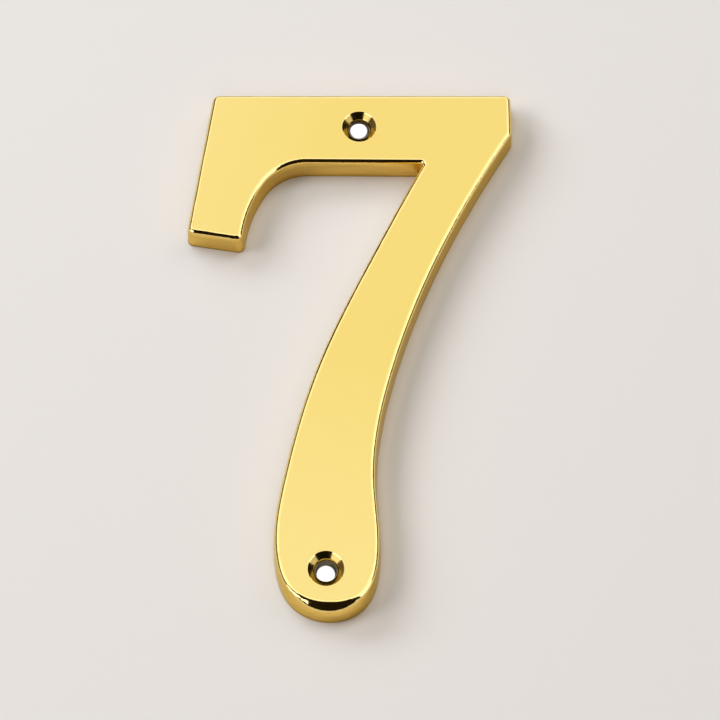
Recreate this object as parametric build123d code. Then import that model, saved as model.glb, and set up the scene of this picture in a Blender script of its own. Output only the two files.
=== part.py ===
from build123d import *
from math import cos, radians, sin, tan
import os

# House number: the numeral seven, cast in brass in one piece with a hollow back.
# Millimetres. The numeral lies on its back: +Z out of the polished face, +Y to its top,
# +X to the right as it is read. The origin is the middle of its box on the back plane.

# Overall
overall_height = 127.0
overall_width = 75.1
depth = 6.5

# Bar, serif and the bay under them, at the back plane
bar_end_height = 10.65
bar_height = 18.4
bar_fall = 0.2
serif_flare = 5.4
serif_drop = 36.3
serif_width = 13.3
serif_foot_fall = 2.2
shoulder_reach = 4.45
shoulder_rise = 14.55
bay_reach = 14.45

# Leg: each station's height above the lowest point, its middle and its width
leg_top_width = 21.3
leg_top_left_angle = 62.0
leg_top_right_angle = 58.3
knee_height = 86.0
knee_middle = 12.95
knee_width = 16.05
calf_height = 56.0
calf_middle = 0.75
calf_width = 18.1
ankle_height = 30.0
ankle_middle = -4.6
ankle_width = 21.0
foot_height = 12.4
foot_middle = -4.85
foot_width = 22.9
toe_offset = 0.2
toe_right_reach = 7.75
toe_right_rise = 2.9
toe_left_reach = 8.2
toe_left_rise = 3.75

# Section
wall_draft = 3.5
corner_radius = 1.6
armpit_radius = 0.4
face_rounding = 1.15
face_wall = 3.0
rim_wall = 2.2
recess_draft = 5.0
recess_corner_radius = 0.8

# The wall below the toe, which rolls over towards the face
toe_roll_depth = 3.5
toe_roll_angle = 65.0
toe_roll_side_share = 0.5
wall_sections = 4
roll_sections = 6

# Screw holes, countersunk for a flat head
hole_diameter = 4.8
countersink_diameter = 8.0
countersink_angle = 100.0
mouth_rounding = 0.25
throat_rounding = 1.0
cutter_rise = 1.0
upper_hole_x = 2.0
upper_hole_below_top = 8.9
lower_hole_x = -5.1
lower_hole_above_toe = 10.1

top = overall_height / 2
bottom = -overall_height / 2
left = -overall_width / 2
right = overall_width / 2


def leg_station(height, middle, width):
    """The right and left sides of the leg at a height above its lowest point."""
    y = bottom + height
    return Vector(middle + width / 2, y), Vector(middle - width / 2, y)


def outline_points():
    """Points of the outline at the back plane, clockwise from the bay round to the armpit."""
    armpit = Vector(right - leg_top_width, top - bar_height - bar_fall)
    serif_right = Vector(left + serif_width, top - serif_drop - serif_foot_fall)
    bay_top = Vector(serif_right.X + bay_reach, top - bar_height)
    shoulder = serif_right + Vector(shoulder_reach, shoulder_rise)
    serif_left = Vector(left, top - serif_drop)
    bar_end = Vector(right, top - bar_end_height)
    bar = [serif_right, serif_left, Vector(left + serif_flare, top), Vector(right, top), bar_end]

    knee = leg_station(knee_height, knee_middle, knee_width)
    calf = leg_station(calf_height, calf_middle, calf_width)
    ankle = leg_station(ankle_height, ankle_middle, ankle_width)
    foot = leg_station(foot_height, foot_middle, foot_width)
    toe = Vector(foot_middle + toe_offset, bottom)
    toe_right = toe + Vector(toe_right_reach, toe_right_rise)
    toe_left = toe + Vector(-toe_left_reach, toe_left_rise)
    right_side = [bar_end, knee[0], calf[0], ankle[0], foot[0]]
    left_side = [foot[1], ankle[1], calf[1], knee[1], armpit]
    return bay_top, shoulder, bar, right_side + [toe_right, toe, toe_left] + left_side


def leg_edges(leg):
    """One smooth curve down the right of the leg, round the foot and up its left, in four parts."""
    down = Vector(-1, 0).rotate(Axis.Z, leg_top_right_angle)
    up = Vector(1, 0).rotate(Axis.Z, leg_top_left_angle)
    curve = Spline(*leg, tangents=[down, up])
    foot_right, toe, foot_left = leg[4], leg[6], leg[8]
    cuts = [0.0] + [curve.param_at_point(point) for point in (foot_right, toe, foot_left)] + [1.0]
    return curve, [curve.trim(start, end) for start, end in zip(cuts, cuts[1:])]


def outline_edges(bay_top, shoulder, bar, leg):
    """The edges of the outline through the given points, clockwise from the armpit."""
    bar_under = Line(leg[-1], bay_top)
    bay_upper = TangentArc(bay_top, shoulder, tangent=bar_under % 1)
    bay_lower = TangentArc(shoulder, bar[0], tangent=bay_upper % 1)
    bar_edges = [Line(start, end) for start, end in zip(bar, bar[1:])]
    return [bar_under, bay_upper, bay_lower] + bar_edges


def moved(point, before, after, inset):
    """A point moved inwards by inset from the two edges that meet there."""
    inward_before = before.rotate(Axis.Z, -90)
    inward_after = after.rotate(Axis.Z, -90)
    return point + (inward_before + inward_after) * (inset / (1 + inward_before.dot(inward_after)))


def inner_points(inset, toe_inset=0.0):
    """The outline's points moved inwards by inset all round and by toe_inset more at the toe."""
    bay_top, shoulder, bar, leg = outline_points()
    curve = leg_edges(leg)[0]
    edges = outline_edges(bay_top, shoulder, bar, leg) + [curve]
    starts = []
    for before, after in zip([curve] + edges, edges):
        starts.append(moved(after @ 0, before % 1, after % 0, inset))
    beside_toe = toe_inset * toe_roll_side_share
    more = [0.0] * 4 + [beside_toe, toe_inset, beside_toe] + [0.0] * 4
    inner_leg = [starts[7]]
    for point, extra in zip(leg[1:-1], more):
        direction = curve.tangent_at(point)
        inner_leg.append(moved(point, direction, direction, inset + extra))
    return starts[1], starts[2], starts[3:8], inner_leg + [starts[0]]


def outline(inset, height, toe_inset=0.0):
    """The outline as a face at a height, moved inwards."""
    bay_top, shoulder, bar, leg = inner_points(inset, toe_inset)
    edges = outline_edges(bay_top, shoulder, bar, leg) + leg_edges(leg)[1]
    return Pos(0, 0, height) * make_face(Wire(edges)).face()


def outer_walls():
    """The block inside the leaning walls, which roll over towards the face below the toe."""
    wall_height = depth - toe_roll_depth
    roll_radius = toe_roll_depth / sin(radians(toe_roll_angle))
    levels = [(wall_height * step / wall_sections, 0.0) for step in range(wall_sections)]
    for step in range(roll_sections + 1):
        turn = radians(toe_roll_angle) * step / roll_sections
        levels.append((wall_height + roll_radius * sin(turn), roll_radius * (1 - cos(turn))))
    lean = tan(radians(wall_draft))
    return loft([outline(height * lean, height, toe_inset) for height, toe_inset in levels])


def upright_edges(solid, points):
    """The edges that rise along the wall from or to the given points of the outline."""
    uprights = solid.edges().filter_by(lambda edge: abs((edge % 0.5).Z) > 0.7)
    return uprights.filter_by(lambda edge: min((edge @ 0 - point).length for point in points) < 0.01
                              or min((edge @ 1 - point).length for point in points) < 0.01)


def cast_block():
    """The outer form: leaning walls, rounded corners and a rounded edge all round the face."""
    bar, leg = outline_points()[2:]
    block = fillet(upright_edges(outer_walls(), bar), corner_radius)
    block = fillet(upright_edges(block, leg[-1:]), armpit_radius)
    face = block.faces().sort_by(Axis.Z)[-1]
    return fillet(face.edges(), face_rounding)


def recess():
    """The hollow in the back, which leaves a face wall and a rim wall, its corners rounded."""
    recess_depth = depth - face_wall
    lean = recess_depth * tan(radians(recess_draft))
    hollow = loft([outline(rim_wall, 0), outline(rim_wall + lean, recess_depth)], ruled=True)
    bar, leg = inner_points(rim_wall)[2:]
    return fillet(upright_edges(hollow, bar + leg[-1:]), recess_corner_radius)


def screw_holes():
    """The two countersunk holes through the face wall, rounded at the mouth and at the throat."""
    sink = (countersink_diameter - hole_diameter) / 2 / tan(radians(countersink_angle / 2))
    mouth = Vector(countersink_diameter / 2, depth)
    throat = Vector(hole_diameter / 2, depth - sink)
    above = depth + cutter_rise
    beside = mouth.X + cutter_rise
    cutter = [(0, 0), (throat.X, 0), throat, mouth, (beside, depth), (beside, above), (0, above)]
    profile = make_face(Polyline(*cutter, close=True))
    profile = fillet(profile.vertices().sort_by_distance(mouth)[:1], mouth_rounding)
    profile = fillet(profile.vertices().sort_by_distance(throat)[:1], throat_rounding)
    hole = revolve(Plane.XZ * profile, Axis.Z)
    upper = Pos(upper_hole_x, top - upper_hole_below_top) * hole
    lower = Pos(lower_hole_x, bottom + lower_hole_above_toe) * hole
    return upper + lower


def numeral_seven():
    """The whole casting, with its box centred on the origin."""
    casting = cast_block() - recess() - screw_holes()
    middle = casting.bounding_box().center()
    return Pos(-middle.X, -middle.Y) * casting


os.makedirs("parts", exist_ok=True)
export_step(numeral_seven(), "parts/numeral_seven.step")
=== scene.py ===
from math import cos, pi, radians, sin, tan

import bpy
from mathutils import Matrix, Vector


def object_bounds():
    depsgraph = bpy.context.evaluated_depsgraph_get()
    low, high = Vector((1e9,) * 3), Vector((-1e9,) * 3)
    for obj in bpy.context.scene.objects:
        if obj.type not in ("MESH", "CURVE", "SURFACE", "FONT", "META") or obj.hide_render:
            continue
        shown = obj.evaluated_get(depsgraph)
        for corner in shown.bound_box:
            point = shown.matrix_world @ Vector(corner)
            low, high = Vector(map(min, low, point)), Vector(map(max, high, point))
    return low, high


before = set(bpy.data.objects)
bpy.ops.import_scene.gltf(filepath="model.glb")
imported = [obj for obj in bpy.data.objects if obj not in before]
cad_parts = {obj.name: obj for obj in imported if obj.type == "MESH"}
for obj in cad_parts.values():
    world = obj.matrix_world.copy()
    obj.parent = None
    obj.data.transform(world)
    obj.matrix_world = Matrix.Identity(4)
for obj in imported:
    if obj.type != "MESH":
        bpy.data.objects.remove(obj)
cad_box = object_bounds()

MM = 0.001

# Camera: it looks down on the face from the foot's side. The aim is the point of the
# polished face in the middle of the picture.
camera_tilt = 24.0
camera_lens = 130.0
camera_sensor = 36.0
camera_clip = 10 * MM
camera_distance = 577.3 * MM
camera_aim = (2.09 * MM, -4.49 * MM)

# Floor, with a painted white glow on it under each screw hole, where the hole's shade would
# fall; only camera rays and reflections see the glow
floor_size = 8.0
floor_colour = (0.79, 0.753, 0.708)
floor_roughness = 0.9
painted_glow_spots = ((1.79 * MM, 57.05 * MM), (-5.32 * MM, -52.5 * MM))
painted_glow_radius = 2.1 * MM
painted_glow_edge = 0.25 * MM

# Studio, as the brass reflects it: directions are parts of a unit vector, and heights and
# angles are in degrees. A wide soft ceiling hangs over the object and behind it, a little
# dimmer and warmer where the face reflects it. The side where the camera stands is dark,
# between two soft cards, and so is the room below the ceiling's edges, except for a dim
# glow low on the left.
ceiling_middle = (0.03, 0.45)
ceiling_middle_radius = (0.04, 0.125)
ceiling_rise_radius = (0.28, 0.60)
ceiling_level = 1.0
ceiling_rise = 0.35
ceiling_front_angle = 12.0
ceiling_left_height = 32.5
ceiling_right_height = 24.0
ceiling_side_reach = 0.5
ceiling_back_fall = 0.32
ceiling_back_reach = (0.6, 0.95)
ceiling_warm = (1.0, 0.99, 0.94)
ceiling_cool = (1.04, 1.06, 1.23)
right_card_level = 1.35
right_card_end = 128.0
right_card_low = 3.0
right_card_drop = 90.0
left_card_level = 2.2
left_card_start = -150.0
left_card_end = -104.0
left_card_low = 8.0
left_card_high = 42.0
left_card_slope = 1.2
left_card_corner = 0.157
left_glow_level = 0.22
left_glow_end = -50.0
left_glow_high = 26.0
dark_level = 0.014
dark_colour = (1.0, 0.66, 0.30)
dark_reach = 0.45
edge_softness = 0.02
background_colour = floor_colour

# Lamps, for the floor only: azimuth from +Y towards +X, height above the floor, half the
# angle they fill, their share of the floor's light, and their colour
lamp_distance = 2.6
cool = (0.885, 1.015, 1.11)
neutral = (1.03, 0.985, 1.0)
warm = (1.19, 0.99, 0.82)
lamps = {
    "overhead": (0.0, 72.0, 18.0, 0.277, cool),
    "left": (-90.0, 40.0, 14.0, 0.240, neutral),
    "low_left": (-65.0, 24.0, 9.0, 0.109, cool),
    "back_left": (-45.0, 30.0, 11.0, 0.113, neutral),
    "back": (-25.0, 30.0, 13.0, 0.085, cool),
    "back_right": (45.0, 42.0, 18.0, 0.114, warm),
    "front": (175.0, 48.0, 18.0, 0.133, warm),
}

# Brass: colours and roughness, most between two values. The glancing tint keeps the walls
# golden where they are seen almost edge on.
polished_low = (0.915, 0.700, 0.208)
polished_high = (0.935, 0.722, 0.220)
polished_gloss = (0.06, 0.09)
# painted sheen: paler brass on the edge roundings, which makes their highlights whiter
edge_sheen_colour = (0.96, 0.765, 0.33)
wall_low = (0.72, 0.47, 0.115)
wall_high = (0.98, 0.66, 0.17)
wall_gloss = (0.12, 0.26)
glancing_tint = (0.8, 0.78, 0.55)
# painted shade: the walls darken towards their foot, where they meet the floor
wall_base_shade_colour = (0.26, 0.17, 0.045)
wall_base_shade_strength = 1.2
cast_low = (0.30, 0.205, 0.085)
cast_high = (0.56, 0.41, 0.18)
cast_gloss = (0.45, 0.60)
ground_colour = (0.70, 0.52, 0.17)

# Where each finish, painted sheen or painted shade begins and is full: how far up a surface
# faces, how deep it lies below the face, or how high it lies above the wall that the numeral
# hangs on
wall_facing = (0.58, 0.46)
wall_depth = (0.5 * MM, 0.9 * MM)
edge_sheen_facing = (0.985, 0.90)
cast_facing = (-0.03, -0.05)
# painted shade at the foot of the walls, from 0.9 mm above the back down to it
wall_base_shade_height = (0.9 * MM, 0.0)
ground_height = (0.1 * MM, 0.05 * MM)

# Countersinks, duller than the face and darkened with painted shade, and the bores under them,
# left rough as drilled and painted near black for the shade inside them
holes = ((1.893 * MM, 54.6 * MM), (-5.207 * MM, -53.4 * MM))
# painted shade: the countersinks' brass is darkened
sink_shade_colour = (0.46, 0.33, 0.085)
sink_gloss = 0.15
sink_radius = 3.9 * MM
sink_start = 0.2 * MM
sink_end = 1.1 * MM
# painted shade: near black inside the bores
bore_shade_colour = (0.13, 0.10, 0.075)
bore_radius = 2.9 * MM
bore_start = 1.7 * MM
hole_blur = 0.2 * MM

# Noises in the metal: turns per metre, detail and roughness. Those that leave marks have
# a depth, and long marks a stretch.
cloud_noise = (60.0, 4.0, 0.5)
wave_noise = (70.0, 1.0, 0.5)
wave_depth = 0.035 * MM
hairline_noise = (1800.0, 2.0, 0.5)
hairline_depth = 0.0006 * MM
hairline_stretch = (1.0, 0.03, 1.0)
streak_noise = (80.0, 4.0, 0.6)
streak_depth = 0.006 * MM
streak_stretch = (1.0, 1.0, 45.0)
grain_noise = (1500.0, 5.0, 0.6)
grain_depth = 0.05 * MM
noise_mean = 0.5
noise_middle = (0.3, 0.7)


def direction(azimuth, from_up):
    """A unit vector at an azimuth from +Y towards +X and an angle from straight up."""
    a, b = radians(azimuth), radians(from_up)
    return Vector((sin(a) * sin(b), cos(a) * sin(b), cos(b)))


def rise(height):
    """The upward part of a unit vector at a height in degrees above the floor."""
    return sin(radians(height))


def node(tree, kind, **settings):
    """A new shader node with the settings given."""
    new = tree.nodes.new(kind)
    for name, value in settings.items():
        setattr(new, name, value)
    return new


def fill(tree, socket, value):
    """Links a socket to an input, or sets the input to a number or a colour."""
    if hasattr(value, "is_output"):
        tree.links.new(value, socket)
    elif isinstance(value, tuple):
        socket.default_value = (*value, 1.0)[:len(socket.default_value)]
    else:
        socket.default_value = value


def calc(tree, operation, first, second=0.0):
    """The result of a sum on sockets or numbers."""
    new = node(tree, "ShaderNodeMath", operation=operation)
    fill(tree, new.inputs[0], first)
    fill(tree, new.inputs[1], second)
    return new.outputs[0]


def less(tree, first, second):
    """The first less the second, each a socket or a number."""
    return calc(tree, "SUBTRACT", first, second)


def inverse(tree, value):
    """1 for 0 and 0 for 1."""
    return less(tree, 1.0, value)


def add(tree, first, *more):
    """The sum of several sockets or numbers."""
    for value in more:
        first = calc(tree, "ADD", first, value)
    return first


def times(tree, first, *more):
    """The product of several sockets or numbers."""
    for value in more:
        first = calc(tree, "MULTIPLY", first, value)
    return first


def ranged(tree, value, low, high, to_low=0.0, to_high=1.0):
    """value's smooth step from low to high, as to_low to to_high."""
    new = node(tree, "ShaderNodeMapRange", interpolation_type="SMOOTHSTEP")
    names = ("Value", "From Min", "From Max", "To Min", "To Max")
    for name, number in zip(names, (value, low, high, to_low, to_high)):
        fill(tree, new.inputs[name], number)
    return new.outputs[0]


def mixed(tree, factor, first, second):
    """A blend of two colours by a factor."""
    new = node(tree, "ShaderNodeMix", data_type="RGBA")
    fill(tree, new.inputs[0], factor)
    fill(tree, new.inputs[6], first)
    fill(tree, new.inputs[7], second)
    return new.outputs[2]


def blended(tree, factor, first, second):
    """A blend of two numbers by a factor."""
    new = node(tree, "ShaderNodeMix", data_type="FLOAT")
    fill(tree, new.inputs[0], factor)
    fill(tree, new.inputs[2], first)
    fill(tree, new.inputs[3], second)
    return new.outputs[0]


def split(tree, vector):
    """A vector's three parts."""
    new = node(tree, "ShaderNodeSeparateXYZ")
    fill(tree, new.inputs[0], vector)
    return new.outputs


def distance(tree, x, y, at_x, at_y):
    """How far a place is from a point, seen from above."""
    across = less(tree, x, at_x)
    along = less(tree, y, at_y)
    return calc(tree, "SQRT", add(tree, times(tree, across, across), times(tree, along, along)))


def near(tree, place, points, radius, blur):
    """1 within a radius of one of the points, seen from above, and 0 beyond it."""
    x, y, z = split(tree, place)
    away = [distance(tree, x, y, *point) for point in points]
    return add(tree, *[ranged(tree, value, radius, radius - blur) for value in away])


def edge(tree, value):
    """0 where a value is below zero and 1 above it, with a soft edge."""
    return ranged(tree, value, -edge_softness, edge_softness)


def above(tree, z, height):
    """1 above a height in degrees over the floor, and 0 below it."""
    return edge(tree, less(tree, z, rise(height)))


def past(tree, x, y, azimuth):
    """1 where a direction lies clockwise of an azimuth, seen from above, and 0 beyond it."""
    turn = radians(azimuth)
    return edge(tree, less(tree, times(tree, x, cos(turn)), times(tree, y, sin(turn))))


def sector(tree, x, y, start, end):
    """1 where a direction lies between two azimuths, seen from above, and 0 outside them."""
    return times(tree, past(tree, x, y, start), inverse(tree, past(tree, x, y, end)))


def ceiling_light(tree, x, y, z, away):
    """Whether a direction is behind the ceiling's front edge, and the ceiling's level there."""
    behind = edge(tree, add(tree, y, times(tree, z, tan(radians(ceiling_front_angle)))))
    low_edge = ranged(tree, x, -ceiling_side_reach, ceiling_side_reach,
                      rise(ceiling_left_height), rise(ceiling_right_height))
    back_fall = times(tree, ranged(tree, y, *ceiling_back_reach), ceiling_back_fall)
    over_low_edge = edge(tree, less(tree, z, less(tree, low_edge, back_fall)))
    rising = times(tree, ranged(tree, away, *ceiling_rise_radius), ceiling_rise)
    return behind, times(tree, add(tree, rising, ceiling_level), behind, over_low_edge)


def right_card_light(tree, x, y, z, behind):
    """The level of the soft card on the right, from the ceiling almost down to the floor."""
    drop = past(tree, x, y, right_card_drop)
    low_edge = ranged(tree, drop, 0.0, 1.0, rise(ceiling_right_height), rise(right_card_low))
    before_end = inverse(tree, past(tree, x, y, right_card_end))
    inside = times(tree, inverse(tree, behind), edge(tree, x), before_end)
    return times(tree, inside, edge(tree, less(tree, z, low_edge)), right_card_level)


def left_card_light(tree, x, y, z):
    """The level of the low bright card on the left, whose top falls away from the camera."""
    sloping = less(tree, left_card_corner, times(tree, y, left_card_slope))
    top = calc(tree, "MINIMUM", sloping, rise(left_card_high))
    inside = sector(tree, x, y, left_card_start, left_card_end)
    under_top = edge(tree, less(tree, top, z))
    return times(tree, inside, above(tree, z, left_card_low), under_top, left_card_level)


def left_glow_light(tree, x, y, z):
    """The level of the dim glow low on the left, between the left card and the back."""
    inside = sector(tree, x, y, left_card_end, left_glow_end)
    return times(tree, inside, inverse(tree, above(tree, z, left_glow_high)), left_glow_level)


def make_sky():
    """The studio round the object, as light from each direction. Only reflections see it."""
    world = bpy.data.worlds.new("studio")
    bpy.context.scene.world = world
    world.use_nodes = True
    tree = world.node_tree
    x, y, z = split(tree, node(tree, "ShaderNodeTexCoord").outputs["Generated"])

    away = distance(tree, x, y, *ceiling_middle)
    behind, ceiling = ceiling_light(tree, x, y, z, away)
    right_card = right_card_light(tree, x, y, z, behind)
    left_card = left_card_light(tree, x, y, z)
    lit = add(tree, ceiling, right_card, left_card, left_glow_light(tree, x, y, z))
    tint = mixed(tree, ranged(tree, away, *ceiling_middle_radius), ceiling_warm, ceiling_cool)
    tint = mixed(tree, ranged(tree, lit, 0.0, dark_reach), dark_colour, tint)

    seen = node(tree, "ShaderNodeLightPath").outputs["Is Camera Ray"]
    background = tree.nodes["Background"]
    strength = blended(tree, seen, add(tree, lit, dark_level), 1.0)
    fill(tree, background.inputs["Strength"], strength)
    fill(tree, background.inputs["Color"], mixed(tree, seen, tint, background_colour))
    world.cycles_visibility.diffuse = False


def make_lamp(name, azimuth, height, spread, share, colour):
    """A soft round lamp that gives its share of the floor's light."""
    lamp = bpy.data.lights.new(name, "AREA")
    lamp.shape = "DISK"
    lamp.size = 2 * lamp_distance * tan(radians(spread))
    lamp.energy = share * (pi * lamp_distance) ** 2 / sin(radians(height))
    lamp.color = colour
    holder = bpy.data.objects.new(name, lamp)
    bpy.context.scene.collection.objects.link(holder)
    away = direction(azimuth, 90 - height)
    holder.location = away * lamp_distance
    holder.rotation_euler = away.to_track_quat("Z", "Y").to_euler()
    holder.visible_glossy = False


def make_camera():
    """The camera, tilted towards the foot and aimed at the polished face."""
    camera = bpy.data.objects.new("camera", bpy.data.cameras.new("camera"))
    bpy.context.scene.collection.objects.link(camera)
    bpy.context.scene.camera = camera
    camera.data.lens = camera_lens
    camera.data.sensor_width = camera_sensor
    camera.data.clip_start = camera_clip
    face_height = cad_box[1][2]
    aim = Vector((*camera_aim, face_height))
    camera.location = aim + direction(180, camera_tilt) * camera_distance
    camera.rotation_euler = (radians(camera_tilt), 0, 0)


def floor_card():
    """Matt pale card, with a painted white glow where it shows through the screw holes."""
    material = bpy.data.materials.new("floor")
    material.use_nodes = True
    tree = material.node_tree
    shader = tree.nodes["Principled BSDF"]
    shader.inputs["Base Color"].default_value = (*floor_colour, 1)
    shader.inputs["Roughness"].default_value = floor_roughness
    shader.inputs["Specular IOR Level"].default_value = 0.0
    place = node(tree, "ShaderNodeTexCoord").outputs["Object"]
    # painted light: the floor glows white under each screw hole, for camera and glossy rays
    # only
    painted_glow = near(tree, place, painted_glow_spots, painted_glow_radius, painted_glow_edge)
    rays = node(tree, "ShaderNodeLightPath").outputs
    seen = calc(tree, "MINIMUM", add(tree, rays["Is Camera Ray"], rays["Is Glossy Ray"]), 1.0)
    shader.inputs["Emission Color"].default_value = (1, 1, 1, 1)
    fill(tree, shader.inputs["Emission Strength"], times(tree, painted_glow, seen))
    return material


def make_floor():
    """A wide flat floor, on which the numeral lies."""
    half = floor_size / 2
    mesh = bpy.data.meshes.new("floor")
    corners = [(-half, -half, 0), (half, -half, 0), (half, half, 0), (-half, half, 0)]
    mesh.from_pydata(corners, [], [(0, 1, 2, 3)])
    floor = bpy.data.objects.new("floor", mesh)
    bpy.context.scene.collection.objects.link(floor)
    mesh.materials.append(floor_card())


def noise(tree, place, scale, detail, roughness):
    """A noise socket at a scale in turns per metre."""
    new = node(tree, "ShaderNodeTexNoise")
    fill(tree, new.inputs["Vector"], place)
    new.inputs["Scale"].default_value = scale
    new.inputs["Detail"].default_value = detail
    new.inputs["Roughness"].default_value = roughness
    return new.outputs["Fac"]


def stretched(tree, place, stretch):
    """A place with its three parts multiplied, for long marks."""
    new = node(tree, "ShaderNodeVectorMath", operation="MULTIPLY")
    fill(tree, new.inputs[0], place)
    new.inputs[1].default_value = stretch
    return new.outputs[0]


def between(tree, value, ends):
    """A noise socket's middle values, spread over the range between two numbers."""
    return ranged(tree, value, *noise_middle, *ends)


def layer(tree, height, start, end, blur):
    """1 between two heights and 0 outside them, start over end."""
    under = ranged(tree, height, start + blur / 2, start - blur / 2)
    over = ranged(tree, height, end - blur / 2, end + blur / 2)
    return times(tree, under, over)


def relief(tree, marks):
    """A normal for marks: each has a noise socket, its depth and where it shows."""
    heights = []
    for mark, depth, where in marks:
        heights.append(times(tree, less(tree, mark, noise_mean), depth, where))
    bump = node(tree, "ShaderNodeBump")
    bump.inputs["Distance"].default_value = 1.0
    fill(tree, bump.inputs["Height"], add(tree, *heights))
    return bump.outputs["Normal"]


def polished_brass():
    """Mirror polish on the face and its edges, linished walls, and as cast inside the back,
    with painted sheen on the edge roundings and painted shade at the foot of the walls, in the
    countersinks and in the bores.
    """
    material = bpy.data.materials.new("polished_brass")
    material.use_nodes = True
    tree = material.node_tree
    shader = tree.nodes["Principled BSDF"]
    place = node(tree, "ShaderNodeTexCoord").outputs["Object"]
    facing = split(tree, node(tree, "ShaderNodeNewGeometry").outputs["True Normal"])["Z"]
    height = split(tree, place)["Z"]
    top = cad_box[1][2]

    cloud = noise(tree, place, *cloud_noise)
    wave = noise(tree, place, *wave_noise)
    hairline = noise(tree, stretched(tree, place, hairline_stretch), *hairline_noise)
    streak = noise(tree, stretched(tree, place, streak_stretch), *streak_noise)
    grain = noise(tree, place, *grain_noise)

    # Where each finish, painted sheen and painted shade shows
    depth = less(tree, top, height)
    wall = times(tree, ranged(tree, facing, *wall_facing), ranged(tree, depth, *wall_depth))
    # painted sheen on the edge roundings, where they start to turn down from the face, patchy
    # by the cloud noise
    edge_sheen = times(tree, ranged(tree, facing, *edge_sheen_facing), inverse(tree, wall), cloud)
    cast = ranged(tree, facing, *cast_facing)
    ground = times(tree, cast, ranged(tree, height, *ground_height))
    low = ranged(tree, height, *wall_base_shade_height)
    # painted shade at the foot of the walls, patchy by the cloud noise
    wall_base_shade = times(tree, wall, low, cloud, wall_base_shade_strength)
    sink = times(tree, near(tree, place, holes, sink_radius, hole_blur),
                 layer(tree, height, top - sink_start, top - sink_end, hole_blur))
    bore = times(tree, near(tree, place, holes, bore_radius, hole_blur),
                 layer(tree, height, top - bore_start, 0.0, hole_blur))
    in_hollow = less(tree, cast, ground)
    rough = calc(tree, "MAXIMUM", in_hollow, bore)
    smooth = inverse(tree, calc(tree, "MAXIMUM", wall, cast))

    colour = mixed(tree, cloud, polished_low, polished_high)
    colour = mixed(tree, edge_sheen, colour, edge_sheen_colour)
    wall_colour = mixed(tree, between(tree, streak, (0.0, 1.0)), wall_low, wall_high)
    colour = mixed(tree, wall, colour, wall_colour)
    colour = mixed(tree, wall_base_shade, colour, wall_base_shade_colour)
    # painted shade in the countersinks
    colour = mixed(tree, sink, colour, sink_shade_colour)
    colour = mixed(tree, cast, colour, mixed(tree, grain, cast_low, cast_high))
    colour = mixed(tree, ground, colour, ground_colour)
    # painted shade in the bores
    colour = mixed(tree, bore, colour, bore_shade_colour)
    fill(tree, shader.inputs["Base Color"], colour)
    shader.inputs["Metallic"].default_value = 1.0
    shader.inputs["Specular Tint"].default_value = (*glancing_tint, 1)

    gloss = between(tree, cloud, polished_gloss)
    gloss = blended(tree, wall, gloss, between(tree, streak, wall_gloss))
    gloss = blended(tree, sink, gloss, sink_gloss)
    gloss = blended(tree, rough, gloss, between(tree, grain, cast_gloss))
    fill(tree, shader.inputs["Roughness"], gloss)

    marks = [
        (wave, wave_depth, smooth),
        (hairline, hairline_depth, smooth),
        (streak, streak_depth, less(tree, wall, in_hollow)),
        (grain, grain_depth, rough),
    ]
    fill(tree, shader.inputs["Normal"], relief(tree, marks))
    return material


def dress():
    """Gives the casting its finish."""
    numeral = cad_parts["numeral_seven"]
    numeral.data.materials.clear()
    numeral.data.materials.append(polished_brass())


bpy.context.scene.view_settings.view_transform = "Standard"
make_camera()
make_sky()
for name, values in lamps.items():
    make_lamp(name, *values)
make_floor()
dress()
